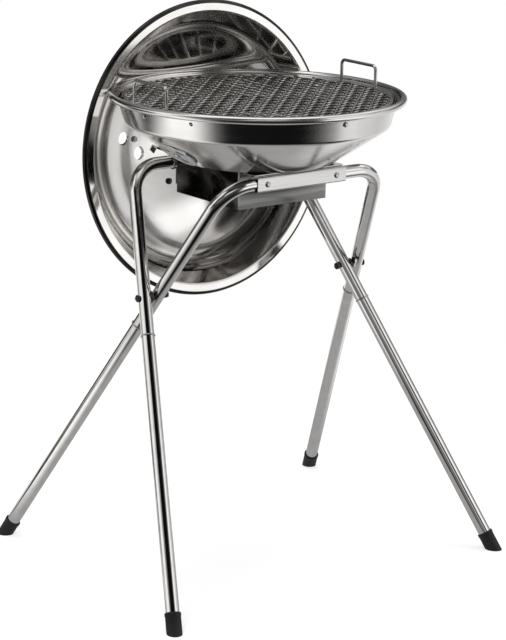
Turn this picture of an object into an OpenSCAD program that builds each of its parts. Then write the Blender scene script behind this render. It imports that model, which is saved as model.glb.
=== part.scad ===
// Charcoal grill of polished steel: a shallow fire bowl on a folding X stand,
// with its round lid hung behind the bowl on the rim. Millimetres, +Z up,
// +X to the right along the stand's bars, the lid hangs on the +Y side.

/* [Bowl] */
// Outer diameter of the rolled rim
rim_d = 360; // [340:1:380]
// Height of the rim's top over the floor
rim_h = 572; // [540:1:620]
// Height from the flat bottom to the rim's top
bowl_h = 81.5; // [78:0.5:90]
// Diameter of the rolled bead on the rim
bead_d = 9; // [8:0.5:10]
// Diameter of the flat bottom
flat_d = 188.8; // [184:0.4:194]
// Rounding of the flat bottom's edge
flat_round = 12; // [8:1:16]
// Distance in from the rim's outer edge to the shoulder, where the cone meets the wall
shoulder_in = 19; // [17:0.5:21]
// Height of the shoulder over the flat bottom
shoulder_h = 45.5; // [43:0.5:47]
// Outward lean of the wall above the shoulder, over its whole height
wall_lean = 7.7; // [6:0.1:8.5]
// Rounding of the shoulder
shoulder_round = 9; // [5:1:12]
// Thickness of the bowl's and the lid's sheet
sheet = 1.2; // [1:0.1:1.5]
// Diameter of the small air holes in the wall
vent_d = 5; // [3:0.5:6]
// Depth of the air holes under the rim's top
vent_drop = 15; // [13:0.5:17]
// Angle of an air hole from the X axis
vent_angle = 25.2; // [20:0.2:35]

/* [Stand] */
// Outer diameter of the leg tubes
leg_d = 16; // [15:0.5:16.5]
// Wall of the leg tubes
leg_wall = 1; // [0.8:0.1:1.4]
// Distance between the front and the rear bar
bar_gap = 163; // [160:1:166]
// Lean of each frame from upright, in degrees
lean = 30.14; // [28:0.02:32]
// Length of a bar, from corner to corner of its centre line
bar_w = 230.2; // [226:0.2:240]
// Splay of a leg in the plane of its frame, in degrees
splay = 13.34; // [12:0.02:15]
// Bend radius of the corners, on the centre line
bend_r = 45; // [40:1:48]
// Gap between the tubes where the frames cross
pivot_gap = 2.6; // [2.4:0.1:3.4]
// Distance along a leg from the crossing bolt down to the plug joint
joint_drop = 46.8; // [44:0.2:60]
// Distance along a leg from the crossing bolt down to the plug's end
plug_gap = 11.8; // [10:0.2:14]
// Thickness of the collar at the plug joint
collar_h = 2; // [1.5:0.5:3]
// Outer diameter of the collar at the plug joint
collar_d = 18; // [17.5:0.1:19]
// Outer diameter of the rubber caps
cap_d = 19.5; // [19:0.1:21]
// Length of a rubber cap along the leg
cap_len = 24; // [20:1:30]

/* [Box under the bowl] */
// Width of the box and of the clips on the bars
box_w = 134; // [124:1:136]
// Depth of the box under the bowl
box_h = 46.5; // [38:0.5:52]
// Distance from the middle of the stand to the front wall
box_front = 54; // [46:1:60]
// Thickness of the box's sheet
box_sheet = 1.5; // [1.2:0.1:1.6]
// Length of the flange over the front bar, from the front wall
flange_len = 30; // [24:1:32]
// Thickness of the clip round the front bar
clip_sheet = 1; // [0.8:0.1:1.2]
// Depth of the clip behind the front bar's centre
clip_back = 4; // [2:0.5:5]
// Height of the leaf that holds the rear sleeve to the box
leaf_h = 26; // [20:1:30]

/* [Grates] */
// Thickness of the cooking grate's wires
wire = 2.4; // [2:0.1:2.8]
// Distance between the cooking grate's wires
mesh_pitch = 17; // [16.8:0.2:24]
// Radial gap between the cooking grate and the bowl's wall
grate_gap = 3; // [2:0.5:4]
// Depth of the cooking grate's underside below the rim's top
grate_drop = 9; // [8.5:0.1:10]
// Height of the grate's handles over its rim
handle_rise = 27; // [20:1:35]
// Length of the grate's handles
handle_len = 65; // [48:1:75]
// Wire of the grate's handles
handle_wire = 4; // [3:0.5:5]
// Height of the charcoal grate over the bowl's bottom
coal_h = 27.5; // [24:0.5:32]
// Thickness of the charcoal grate's bars
coal_wire = 4; // [3:0.5:5]
// Distance between the charcoal grate's bars
coal_pitch = 16; // [14:0.5:24]

/* [Dampers] */
// Radius of the bowl's damper plate
bowl_plate_r = 25; // [23:0.5:27]
// Radius of the lid's damper plate
lid_plate_r = 33; // [30:0.5:34]
// Diameter of a damper's air holes, as a share of its plate's radius
air_size = 0.52; // [0.4:0.01:0.54]
// Distance of the air holes from the rivet, as a share of the plate's radius
air_pitch = 0.6; // [0.58:0.01:0.63]
// Width of a damper's thumb tab
tab_w = 12; // [10:1:14]
// Height of a damper's thumb tab
tab_h = 8; // [6:0.5:10]
// Distance of the bowl damper's rivet from the bowl's axis
damper_reach = 120; // [117:0.5:124]
// Angle of the bowl damper round the bowl
damper_angle = 182; // [172:1:190]
// Turn of the bowl damper from fully open
bowl_damper_turn = 60; // [40:1:60]
// Turn of the lid damper from fully open
lid_damper_turn = 4; // [0:1:20]
// Turn of the lid's air holes round their rivet
lid_air_turn = 60; // [50:1:70]
// Distance of the lid damper's rivet to the left of the lid's middle
lid_damper_x = 52; // [48:0.2:62]
// Distance of the lid damper's rivet above the lid's middle
lid_damper_up = 7.7; // [0:0.1:12]

/* [Lid] */
// Outer diameter of the lid
lid_d = 368; // [366:1:372]
// Diameter of the lid's rolled bead
lid_bead_d = 8; // [7:0.5:9]
// Diameter of the lid's opening
throat_d = 337; // [336:0.5:339]
// Diameter where the lid's side meets its dome
dome_d = 314; // [310:1:318]
// Depth of the lid's side
side_h = 20; // [17:0.5:22]
// Depth of the lid from its mouth to the top of the dome
lid_depth = 89.5; // [88:0.5:94]
// Lean of the hung lid from upright, in degrees
lid_lean = 3.1; // [2:0.1:4]
// Distance between the fixings of the lid's handle
grip_len = 102; // [80:2:120]
// Thickness of the lid's handle
grip_d = 10; // [8:0.5:12]
// Finger room between the lid and its handle
grip_gap = 26; // [22:1:40]
// Bend radius of the lid's handle
grip_bend = 14; // [10:1:18]

/* [Hidden] */
$fn = 64;
// Gap between pieces that rest on each other but come apart
rest_gap = 0.3;
// Radial clearance of a shaft that turns or slides in its bore
run_gap = 0.05;
// Gap at a seat where two faces touch but aren't joined
seat_gap = 0.1;
// Reach of a cutting solid past the face that it cuts
cut = 1;
// Reach of a drill on each side of the sheet that it goes through
drill = 10;

// Bowl, from the floor up
bowl_z = rim_h - bowl_h;
bead_r = bead_d / 2;
bead_ring_r = rim_d / 2 - bead_r;
bead_z = rim_h - bead_r;
flat_r = flat_d / 2;
shoulder_r = rim_d / 2 - shoulder_in;
shoulder_z = bowl_z + shoulder_h;
wall_top_r = shoulder_r + wall_lean;
neck_round = 3;
cone_slope = atan2(shoulder_h, shoulder_r - flat_r);
wall_angle = atan2(wall_lean, bead_z - shoulder_z);
bowl_path = rounded([[0, bowl_z], [flat_r, bowl_z], [shoulder_r, shoulder_z],
    [wall_top_r, bead_z], [bead_ring_r, bead_z]], [0, flat_round, shoulder_round, neck_round, 0]);

// Stand
leg_r = leg_d / 2;
bore_r = leg_r - leg_wall;
flange_z = bowl_z - box_sheet;
bar_z = flange_z - rest_gap - clip_sheet - leg_r;
bar_y = bar_gap / 2;
leg_half = leg_r / cos(splay);
frame_shift = leg_half + pivot_gap / 2;
turn = 90 - splay;
bend_len = bend_r * tan(turn / 2);
foot_t = bar_z / cos(lean) / cos(splay);
foot_y = bar_z * tan(lean) - bar_y;
pivot_z = bar_z - bar_y / tan(lean);
pivot_x = bar_w / 2 + bar_y / sin(lean) * tan(splay);
pivot_t = bar_y / sin(lean) / cos(splay);
joint_t = pivot_t + joint_drop;
tube_end_h = 9;
tube_end_t = foot_t - tube_end_h / cos(lean) / cos(splay);
plug_r = bore_r - run_gap;
plug_wall = 1.5;
plug_bore_r = plug_r - plug_wall;
plug_top = pivot_t + plug_gap;
plug_lead = 2;
plug_tail = 25;
lap = 0.6;
bend_thin = 0.03;

// Pivot hardware
bolt_r = 2.5;
bolt_head_r = 4.4;
bolt_head_h = 2.6;
nut_r = 4.6;
nut_h = 4;
spacer_r = 7.5;
spacer_depth = 2;

// Box
box_x = box_w / 2;
box_y = bar_y - leg_r - run_gap - box_sheet;
screw_x = 45;
screw_ys = [-36, 44];
screw_r = 2.5;
screw_head_r = 4.8;
screw_head_h = 2.8;
screw_tail = 6;
rivet_r = 2;
rivet_head_r = 3.6;
rivet_head_h = 1.4;
rivet_tail_r = 0.8 * rivet_head_r;
rivet_xs = [-52, 0, 52];
leaf_hole = 0.7 * leaf_h;
clip_x = box_x - 0.5;

// Grates
grate_z = rim_h - grate_drop;
grate_edge = 1;
weld = 0.4;
grate_h = 2 * wire - weld + 2 * grate_edge;
grate_ring_w = 5;
grate_r = wall_r(grate_z) - sheet / cos(wall_angle) - grate_gap;
bracket_w = 14;
bracket_sheet = 1.2;
bracket_h = 13;
bracket_step = 0.6;
shelf_z = grate_z - rest_gap;
m3_r = 1.5;
m3_head_r = 3.2;
m3_head_h = 2;
m3_nut_r = 3.1;
m3_nut_h = 2.4;
m3_len = 8;
nut_room = 1;
bracket_hole_z = shelf_z - bracket_sheet - m3_nut_r - nut_room;
tab_root = 2;
tab_reach = 10;
bowl_tab = 250;
lid_tab = 0;
damper_head_h = 2;
coal_edge = 1.2;
coal_r = flat_r + coal_edge + (coal_h * cos(cone_slope) - sheet - rest_gap) / sin(cone_slope);
coal_bar = coal_wire - 1;
coal_cross = coal_r * 0.62;

// Lid
bead2_r = lid_bead_d / 2;
lid_ring_r = lid_d / 2 - bead2_r;
throat_r = throat_d / 2;
lip_r = 3;
dome_r = dome_d / 2;
dome_h = lid_depth - side_h;
lid_steps = 24;
lid_path = concat(
    [for (i = [0:lid_steps]) let (a = 90 * i / lid_steps) [dome_r * sin(a), side_h + dome_h * cos(a)]],
    [for (a = [180:15:270]) [throat_r + lip_r + lip_r * cos(a), lip_r + lip_r * sin(a)]],
    [[lid_ring_r, 0]]);
lid_seat = lid_at([bead_ring_r * 0.56, bead_z - bead_ring_r * 0.46], 8);
lid_y = lid_seat[0];
lid_z = lid_seat[1];
grip_r = grip_d / 2;
grip_z = lid_depth + sheet + grip_gap + grip_r;
grip_screw_r = 2;
grip_screw_head_r = 4;
grip_screw_head_h = 2.6;
grip_screw_len = 12;
lid_damper_r = norm([lid_damper_x, lid_damper_up]);

// The part stands with the middle of its box in plan on the Z axis
front_y = -foot_y - cap_d / 2 / cos(lean);
back_y = lid_y + (grip_z - grip_bend) * cos(lid_lean) + (grip_len / 2 - grip_bend) * sin(lid_lean)
    + grip_bend + grip_r;
mid_y = (front_y + back_y) / 2;

// An open path with each corner rounded to its radius
function rounded(pts, radii) = [for (i = [0:len(pts) - 1]) each
    (radii[i] == 0 ? [pts[i]] : corner(pts[i - 1], pts[i], pts[i + 1], radii[i]))];
function corner(a, b, c, r) =
    let (u = (a - b) / norm(a - b), v = (c - b) / norm(c - b))
    let (half = acos(u * v) / 2, mid = (u + v) / norm(u + v))
    let (o = b + mid * r / sin(half), side = cross(u, v) > 0 ? -1 : 1)
    let (from = b + u * r / tan(half) - o)
    [for (k = [0:6]) let (t = side * k / 6 * (180 - 2 * half)) o + turned(from, t)];
function turned(p, t) = [p[0] * cos(t) - p[1] * sin(t), p[0] * sin(t) + p[1] * cos(t)];

// The same path set over to its left by t
function shifted(p, t) = [for (i = [0:len(p) - 1])
    let (a = p[max(i - 1, 0)], b = p[min(i + 1, len(p) - 1)])
    let (u = i == 0 ? p[1] - p[0] : (p[i] - a) / norm(p[i] - a))
    let (v = i == len(p) - 1 ? u : (b - p[i]) / norm(b - p[i]))
    let (un = u / norm(u), vn = v / norm(v), m = (un + vn) / norm(un + vn))
    p[i] + [-m[1], m[0]] * t / (m * un)];
function flipped(p) = [for (i = [len(p) - 1:-1:0]) p[i]];
function thick(p, t) = concat(p, flipped(shifted(p, t)));

// Outer radius of the bowl's wall at a height above the shoulder
function wall_r(z) = shoulder_r + (z - shoulder_z) * tan(wall_angle);
// Depth and slope of the dome's inner face at a radius
function dome_at(r) = side_h + dome_h * sqrt(1 - pow(r / dome_r, 2));
function dome_slope(r) = atan(dome_h / dome_r * (r / dome_r) / sqrt(1 - pow(r / dome_r, 2)));

// The hung lid rests on the rim's bead with its lip on both sides and with its dome
// behind. A point of the bead's centre line, seen from the lid: radius and depth.
function from_lid(p, y, z) = let (dy = p[1] - y, dz = p[2] - z)
    [norm([p[0], dy * sin(lid_lean) + dz * cos(lid_lean)]), dy * cos(lid_lean) - dz * sin(lid_lean)];
function bead_at(a) = [bead_ring_r * cos(a), bead_ring_r * sin(a), bead_z];
function lip_gap(y, z) = min([for (a = [15:0.5:60])
    norm(from_lid(bead_at(a), y, z) - [throat_r + lip_r, lip_r])]) - lip_r - bead_r - rest_gap;
function seg_dist(p, a, b) = let (s = max(0, min(1, (p - a) * (b - a) / ((b - a) * (b - a)))))
    norm(p - a - s * (b - a));
function dome_gap(y, z) = let (p = from_lid(bead_at(90), y, z))
    let (inside = pow(p[0] / dome_r, 2) + pow((p[1] - side_h) / dome_h, 2) < 1 ? 1 : -1)
    inside * min([for (i = [0:lid_steps - 1]) seg_dist(p, lid_path[i], lid_path[i + 1])])
        - bead_r - rest_gap;
// The least value between lo and hi at which a gap that grows with it is open
function least(lo, hi, n, gap) = n == 0 ? hi : let (m = (lo + hi) / 2)
    gap(m) > 0 ? least(lo, m, n - 1, gap) : least(m, hi, n - 1, gap);
function lid_at(p, n) = n == 0 ? p :
    let (y = least(p[0] - 15, p[0] + 15, 14, function (v) dome_gap(v, p[1])))
    let (z = least(p[1] - 15, p[1] + 15, 14, function (v) lip_gap(y, v)))
    lid_at([y, z], n - 1);

module placed() translate([0, -mid_y, 0]) children();
module front_bar() placed() translate([frame_shift, -bar_y, bar_z]) rotate([lean, 0, 0]) children();
module rear_bar() placed() translate([-frame_shift, bar_y, bar_z]) rotate([-lean, 0, 0]) children();
// Along a leg, from the corner of the bar's centre line, side -1 is the left one
module down_leg(side) translate([side * bar_w / 2, 0, 0]) rotate([0, side * (180 - splay), 0])
    children();
module on_lid() placed() translate([0, lid_y, lid_z]) rotate([-90 - lid_lean, 0, 0]) children();
module on_cone() placed() rotate([0, 0, damper_angle])
    translate([damper_reach, 0, bowl_z + (damper_reach - flat_r) * tan(cone_slope)])
    rotate([0, 180 - cone_slope, 0]) children();
module on_dome() on_lid() rotate([0, 0, atan2(-lid_damper_up, -lid_damper_x)])
    translate([lid_damper_r, 0, dome_at(lid_damper_r)]) rotate([0, dome_slope(lid_damper_r), 0])
    translate([0, 0, sheet]) rotate([0, 0, lid_air_turn]) children();
module at_wall(a, z) placed() rotate([0, 0, a]) translate([wall_r(z), 0, z])
    rotate([0, wall_angle, 0]) children();
module tube(r, h) cylinder(r = r, h = h);
module along_x(r, x1, x2) translate([x1, 0, 0]) rotate([0, 90, 0]) tube(r, x2 - x1);

// Rivet with a low round head below z = 0 and a flat one above its grip
module rivet(r, head_r, head_h, grip) {
    rotate_extrude() polygon([[0, -head_h], [head_r * 0.6, -head_h], [head_r, -head_h * 0.3],
        [head_r, 0], [r, 0], [r, grip], [head_r * 0.8, grip], [head_r * 0.8, grip + head_h * 0.7],
        [0, grip + head_h * 0.7]]);
}

// Screw with a round head above z = 0 and its shank below
module screw(r, head_r, head_h, len) {
    rotate_extrude() polygon([[0, -len], [r, -len], [r, 0], [head_r, 0], [head_r, head_h * 0.4],
        [head_r * 0.7, head_h * 0.85], [head_r * 0.3, head_h], [0, head_h]]);
}

module hex_nut(r, bore, h) {
    difference() {
        cylinder(r = r, h = h, $fn = 6);
        translate([0, 0, -cut]) tube(bore, h + 2 * cut);
    }
}

// Rod along a frame's centre line: the bar, two bends and two legs to a length. The
// bends are a hair thinner, as a drawn tube is there, and lap into the straight parts.
module bent_rod(r, len) {
    bar = bar_w / 2 - bend_len;
    along_x(r, -bar - lap, bar + lap);
    for (m = [0, 1]) mirror([m, 0, 0]) {
        translate([bar, 0, -bend_r]) rotate([90, 0, 0]) rotate([0, 0, splay])
            rotate_extrude(angle = turn) translate([bend_r, 0]) circle(r = r - bend_thin);
        down_leg(1) translate([0, 0, bend_len - lap]) tube(r, len - bend_len + lap);
    }
}

module pivot_holes() placed() translate([0, 0, pivot_z])
    along_x(bolt_r + run_gap, -2 * pivot_x, 2 * pivot_x);

module frame_tube() difference() {
    bent_rod(leg_r, joint_t - seat_gap);
    bent_rod(bore_r, joint_t + cut);
}

module rear_bar_frame() color("silver") difference() {
    rear_bar() frame_tube();
    pivot_holes();
}

module front_bar_frame() color("silver") difference() {
    front_bar() frame_tube();
    pivot_holes();
    front_bar() for (x = [rivet_xs[0], rivet_xs[2]]) translate([x - frame_shift, 0, 0])
        rotate([90 - lean, 0, 0]) tube(rivet_r + run_gap, leg_d);
}

// Lower leg: a tube with a plug that goes up into the frame's tube
module lower_leg(side) down_leg(side) rotate_extrude() polygon([
    [plug_bore_r, plug_top], [plug_r - plug_lead / 2, plug_top], [plug_r, plug_top + plug_lead],
    [plug_r, joint_t + collar_h], [leg_r, joint_t + collar_h], [leg_r, tube_end_t],
    [bore_r, tube_end_t], [bore_r, joint_t + plug_tail], [plug_bore_r, joint_t + plug_tail]]);

module collar(side) down_leg(side) rotate_extrude() polygon([
    [bore_r, joint_t], [collar_d / 2 - 0.4, joint_t], [collar_d / 2, joint_t + 0.4],
    [collar_d / 2, joint_t + collar_h - 0.4], [collar_d / 2 - 0.4, joint_t + collar_h],
    [bore_r, joint_t + collar_h]]);

// Rubber cap: a cup round the tube's end, with a lip at its mouth
module cap(side) {
    top = foot_t - cap_len;
    down_leg(side) rotate_extrude() polygon([[leg_r + run_gap, top], [cap_d / 2 - 0.5, top],
        [cap_d / 2, top + 0.8], [cap_d / 2, foot_t + 2 * cap_d], [0, foot_t + 2 * cap_d],
        [0, tube_end_t + run_gap], [leg_r + run_gap, tube_end_t + run_gap]]);
}
module above_floor() difference() {
    children();
    translate([0, 0, -foot_t]) cube(2 * foot_t, center = true);
}

module leg_front_left() color("silver") rear_bar() lower_leg(-1);
module leg_front_right() color("silver") rear_bar() lower_leg(1);
module leg_rear_left() color("silver") front_bar() lower_leg(-1);
module leg_rear_right() color("silver") front_bar() lower_leg(1);
module collar_front_left() color("lightgray") rear_bar() collar(-1);
module collar_front_right() color("lightgray") rear_bar() collar(1);
module collar_rear_left() color("lightgray") front_bar() collar(-1);
module collar_rear_right() color("lightgray") front_bar() collar(1);
module cap_front_left() color("#1a1a1a") above_floor() rear_bar() cap(-1);
module cap_front_right() color("#1a1a1a") above_floor() rear_bar() cap(1);
module cap_rear_left() color("#1a1a1a") above_floor() front_bar() cap(-1);
module cap_rear_right() color("#1a1a1a") above_floor() front_bar() cap(1);

// Each pivot: own is the rear frame's leg, other the front frame's, on one side
module each_pivot() placed() translate([0, 0, pivot_z]) {
    pivot(-pivot_x - frame_shift, -pivot_x + frame_shift) children();
    pivot(pivot_x - frame_shift, pivot_x + frame_shift) children();
}
module pivot(own, other) {
    $own = own;
    $other = other;
    $out = own < 0 ? -1 : 1;
    children();
}
// Distance from a leg's centre to a turning face of radius r beside it
function beside(r) = leg_half + r * tan(splay) + rest_gap;

module pivot_bolts() color("#202020") each_pivot() {
    outer = max(abs($own), abs($other)) + beside(bolt_head_r);
    inner = min(abs($own), abs($other)) - beside(nut_r) - nut_h - 1;
    rotate([0, 90 * $out, 0]) translate([0, 0, outer]) screw(bolt_r, bolt_head_r, bolt_head_h,
        outer - inner);
}

module pivot_nuts() color("#202020") each_pivot() {
    inner = min(abs($own), abs($other)) - beside(nut_r);
    rotate([0, 90 * $out, 0]) translate([0, 0, inner - nut_h]) hex_nut(nut_r, bolt_r, nut_h);
}

// Round spacer between the crossing tubes, saddled on the rear frame's leg and
// dished so that the front frame's leg turns past it
module pivot_spacers() color("#202020") difference() {
    each_pivot() {
        dir = $other > $own ? 1 : -1;
        far = abs($other - $own) - leg_half - rest_gap;
        translate([$own, 0, 0]) rotate([0, 90 * dir, 0]) rotate_extrude() polygon([
            [bolt_r + run_gap, spacer_depth], [spacer_r, spacer_depth],
            [spacer_r, far - spacer_r * tan(splay)], [bolt_r + run_gap, far - bolt_r * tan(splay)]]);
    }
    rear_bar() for (side = [-1, 1]) down_leg(side) tube(leg_r + run_gap, joint_t);
}

// Clip of folded sheet round the front bar, open to the rear, level with the box
module front_clip() color("gainsboro") placed() translate([0, -bar_y, bar_z]) difference() {
    far = leg_r + clip_sheet;
    translate([-clip_x, -far, -far]) cube([2 * clip_x, far + clip_back, 2 * far]);
    translate([-clip_x - cut, -leg_r, -leg_r]) cube([2 * (clip_x + cut), leg_d + far, leg_d]);
    for (x = [rivet_xs[0], rivet_xs[2]]) translate([x, 0, 0]) rotate([90, 0, 0])
        tube(rivet_r + run_gap, 2 * far);
}

module clip_rivets() color("silver") placed() translate([0, -bar_y - leg_r - clip_sheet, bar_z])
    for (x = [rivet_xs[0], rivet_xs[2]]) translate([x, 0, 0]) rotate([-90, 0, 0])
        rivet(rivet_r, rivet_head_r, rivet_head_h, clip_sheet + tube_depth(rivet_tail_r) + run_gap);
// Depth of the tube's inner face under its outer one, at a distance beside a hole's axis
function tube_depth(r) = leg_r - sqrt(pow(bore_r, 2) - pow(r, 2));

// Inverted tray under the bowl, with a flange over the front bar's clip
module base_box() color("gainsboro") placed() difference() {
    union() {
        translate([-box_x, -box_front, bowl_z - box_h]) cube([box_w, box_front + box_y, box_h]);
        translate([-box_x, -box_front - flange_len, flange_z]) cube([box_w, flange_len + cut, box_sheet]);
    }
    translate([-box_x + box_sheet, -box_front + box_sheet, bowl_z - box_h - cut])
        cube([box_w - 2 * box_sheet, box_front + box_y - 2 * box_sheet, box_h - box_sheet + cut]);
    for (x = [-screw_x, screw_x], y = screw_ys) translate([x, y, flange_z - cut])
        tube(screw_r + run_gap, box_sheet + 2 * cut);
    for (x = rivet_xs) translate([x, box_y + cut, bar_z - leaf_hole]) rotate([90, 0, 0])
        tube(rivet_r + run_gap, box_sheet + 2 * cut);
}

// Rolled eye round the rear bar, with a leaf down the box's rear wall
module rear_sleeve() color("gainsboro") placed() translate([0, bar_y, bar_z]) difference() {
    far = leg_r + run_gap + box_sheet;
    union() {
        along_x(far, -clip_x, clip_x);
        translate([-clip_x, -far, -leaf_h]) cube([2 * clip_x, box_sheet, leaf_h]);
    }
    along_x(leg_r + run_gap, -clip_x - cut, clip_x + cut);
    for (x = rivet_xs) translate([x, cut, -leaf_hole]) rotate([90, 0, 0])
        tube(rivet_r + run_gap, 2 * leg_d);
}

module sleeve_rivets() color("silver") placed() translate([0, box_y + box_sheet, bar_z - leaf_hole])
    for (x = rivet_xs) translate([x, 0, 0]) rotate([90, 0, 0])
        rivet(rivet_r, rivet_head_r, rivet_head_h, 2 * box_sheet);

module fire_bowl() color("silver") difference() {
    placed() union() {
        rotate_extrude() polygon(thick(bowl_path, sheet));
        rotate_extrude() translate([bead_ring_r, bead_z]) circle(r = bead_r);
    }
    for (a = [vent_angle, 180 - vent_angle, 180 + vent_angle, -vent_angle])
        at_wall(a, rim_h - vent_drop) along_x(vent_d / 2, -drill, drill);
    for (a = [0, 90, 180, 270]) at_wall(a, bracket_hole_z) along_x(m3_r + run_gap, -drill, drill);
    placed() for (x = [-screw_x, screw_x], y = screw_ys) translate([x, y, bowl_z - cut])
        tube(screw_r + run_gap, sheet + 2 * cut);
    on_cone() translate([0, 0, -sheet - cut]) air_holes(bowl_plate_r, 0, sheet + 2 * cut);
}

module bowl_screws() color("silver") placed() for (x = [-screw_x, screw_x], y = screw_ys)
    translate([x, y, bowl_z + sheet]) screw(screw_r, screw_head_r, screw_head_h,
        sheet + box_sheet + screw_tail);

module bowl_nuts() color("silver") placed() for (x = [-screw_x, screw_x], y = screw_ys)
    translate([x, y, flange_z - nut_h]) hex_nut(nut_r, screw_r, nut_h);

// Angle bracket on the wall's inside, with a level shelf for the cooking grate
module grate_brackets() color("silver") for (a = [0, 90, 180, 270]) difference() {
    union() {
        at_wall(a, shelf_z) translate([-sheet - rest_gap - bracket_sheet, -bracket_w / 2, -bracket_h])
            cube([bracket_sheet, bracket_w, bracket_h - bracket_step]);
        placed() rotate([0, 0, a]) translate([shelf_in(), -bracket_w / 2, shelf_z - bracket_sheet])
            cube([shelf_out() - shelf_in(), bracket_w, bracket_sheet]);
    }
    at_wall(a, bracket_hole_z) along_x(m3_r + run_gap, -drill, drill);
}
function shelf_in() = grate_r - grate_ring_w - 3;
function shelf_out() = wall_r(shelf_z) - sheet - bracket_sheet;

module bracket_screws() color("silver") for (a = [0, 90, 180, 270]) at_wall(a, bracket_hole_z)
    translate([seat_gap, 0, 0]) rotate([0, 90, 0]) screw(m3_r, m3_head_r, m3_head_h, m3_len);

module bracket_nuts() color("silver") for (a = [0, 90, 180, 270]) at_wall(a, bracket_hole_z)
    translate([-sheet - rest_gap - bracket_sheet - m3_nut_h, 0, 0]) rotate([0, 90, 0])
    hex_nut(m3_nut_r, m3_r, m3_nut_h);

// Three air holes round a rivet hole, for a plate of radius r, in a solid to be cut
module air_holes(r, turn_by, h) {
    tube(screw_r + run_gap, h);
    for (a = [0, 120, 240]) rotate([0, 0, a + turn_by]) translate([-air_pitch * r, 0, 0])
        tube(air_size * r / 2, h);
}

// Flat damper plate with its thumb tab, just off the sheet that it covers
module damper_plate(r, tab_angle, turn_by) difference() {
    union() {
        translate([0, 0, rest_gap]) tube(r, sheet);
        rotate([0, 0, tab_angle]) translate([r - tab_root, -tab_w / 2, rest_gap]) {
            cube([tab_root + tab_reach, tab_w, sheet]);
            translate([tab_root + tab_reach - sheet, 0, 0]) cube([sheet, tab_w, tab_h]);
        }
    }
    air_holes(r, turn_by, drill);
}

module bowl_damper() color("silver") on_cone()
    damper_plate(bowl_plate_r, bowl_tab, bowl_damper_turn);
module bowl_damper_rivet() color("dimgray") on_cone() translate([0, 0, 2 * rest_gap + sheet])
    rotate([180, 0, 0]) rivet(screw_r, screw_head_r, damper_head_h,
        2 * (sheet + rest_gap) + rest_gap);
module lid_damper() color("silver") on_dome()
    damper_plate(lid_plate_r, lid_tab, lid_damper_turn);
module lid_damper_rivet() color("silver") on_dome() translate([0, 0, 2 * rest_gap + sheet])
    rotate([180, 0, 0]) rivet(screw_r, screw_head_r, damper_head_h,
        2 * (sheet + rest_gap) + rest_gap);

// Rim of a grate: a flat band with broken edges, inner face tall enough for the wires
module grate_rim(r, w, h, e) rotate_extrude() polygon([[r - w, e], [r - w + e, 0], [r - e, 0],
    [r, e], [r, h - e], [r - e, h], [r - w + e, h], [r - w, h - e]]);

// Parallel wires along X that end inside a rim of radius r, width w
module wires(r, w, t, pitch, z) {
    n = floor((r - w - t) / pitch);
    for (i = [-n:n]) let (half = sqrt(pow(r - w / 2, 2) - pow(abs(i * pitch) + t / 2, 2)))
        translate([-half, i * pitch - t / 2, z]) cube([2 * half, t, t]);
}

module cooking_grate() color("gray") placed() translate([0, 0, grate_z]) union() {
    grate_rim(grate_r, grate_ring_w, grate_h, grate_edge);
    wires(grate_r, grate_ring_w, wire, mesh_pitch, grate_edge);
    rotate([0, 0, 90]) wires(grate_r, grate_ring_w, wire, mesh_pitch, grate_edge + wire - weld);
}

// Upright wire handle on the grate's rim
module grate_handle(side) placed() {
    foot_x = sqrt(pow(grate_r - grate_ring_w / 2, 2) - pow(handle_len / 2, 2));
    bend = handle_wire * 1.5;
    r = handle_wire / 2;
    translate([side * foot_x, 0, grate_z + grate_h]) {
        for (m = [0, 1]) mirror([0, m, 0]) {
            translate([0, handle_len / 2, 0]) tube(r, handle_rise - r - bend);
            translate([0, handle_len / 2 - bend, handle_rise - r - bend]) rotate([90, 0, 90])
                rotate_extrude(angle = 90) translate([bend, 0]) circle(r = r);
        }
        translate([0, bend - handle_len / 2, handle_rise - r]) rotate([-90, 0, 0])
            tube(r, handle_len - 2 * bend);
    }
}
module grate_handle_left() color("silver") grate_handle(-1);
module grate_handle_right() color("silver") grate_handle(1);

module charcoal_grate() color("dimgray") placed() translate([0, 0, bowl_z + coal_h]) union() {
    grate_rim(coal_r, coal_wire, 2 * coal_wire, coal_edge);
    wires(coal_r, coal_wire, coal_bar, coal_pitch, coal_wire / 2);
    rotate([0, 0, 90]) wires(coal_r, coal_wire, coal_bar, coal_cross, coal_bar);
}

module lid_shell() color("silver") difference() {
    on_lid() union() {
        rotate_extrude() polygon(thick(lid_path, sheet));
        rotate_extrude() translate([lid_ring_r, bead2_r - 0.5]) circle(r = bead2_r);
    }
    on_lid() for (s = [-1, 1]) translate([0, s * grip_len / 2, side_h])
        tube(grip_screw_r + run_gap, lid_depth);
    on_dome() translate([0, 0, -drill]) air_holes(lid_plate_r, 0, 2 * drill);
}

// Bent rod handle across the top of the dome
module lid_handle() color("silver") on_lid() difference() {
    foot = dome_at(grip_len / 2 - grip_r) + sheet + run_gap;
    union() for (m = [0, 1]) mirror([0, m, 0]) {
        translate([0, grip_len / 2, foot]) tube(grip_r, grip_z - grip_bend - foot);
        translate([0, grip_len / 2 - grip_bend, grip_z - grip_bend]) rotate([90, 0, 90])
            rotate_extrude(angle = 90) translate([grip_bend, 0]) circle(r = grip_r);
        translate([0, 0, grip_z]) rotate([-90, 0, 0]) tube(grip_r, grip_len / 2 - grip_bend);
    }
    for (s = [-1, 1]) translate([0, s * grip_len / 2, foot - cut]) tube(grip_screw_r, grip_screw_len + cut);
}

module handle_screws() color("silver") on_lid() for (s = [-1, 1])
    translate([0, s * grip_len / 2, dome_at(grip_len / 2 + grip_screw_head_r) - run_gap])
        rotate([180, 0, 0]) screw(grip_screw_r, grip_screw_head_r, grip_screw_head_h, grip_screw_len);

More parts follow.
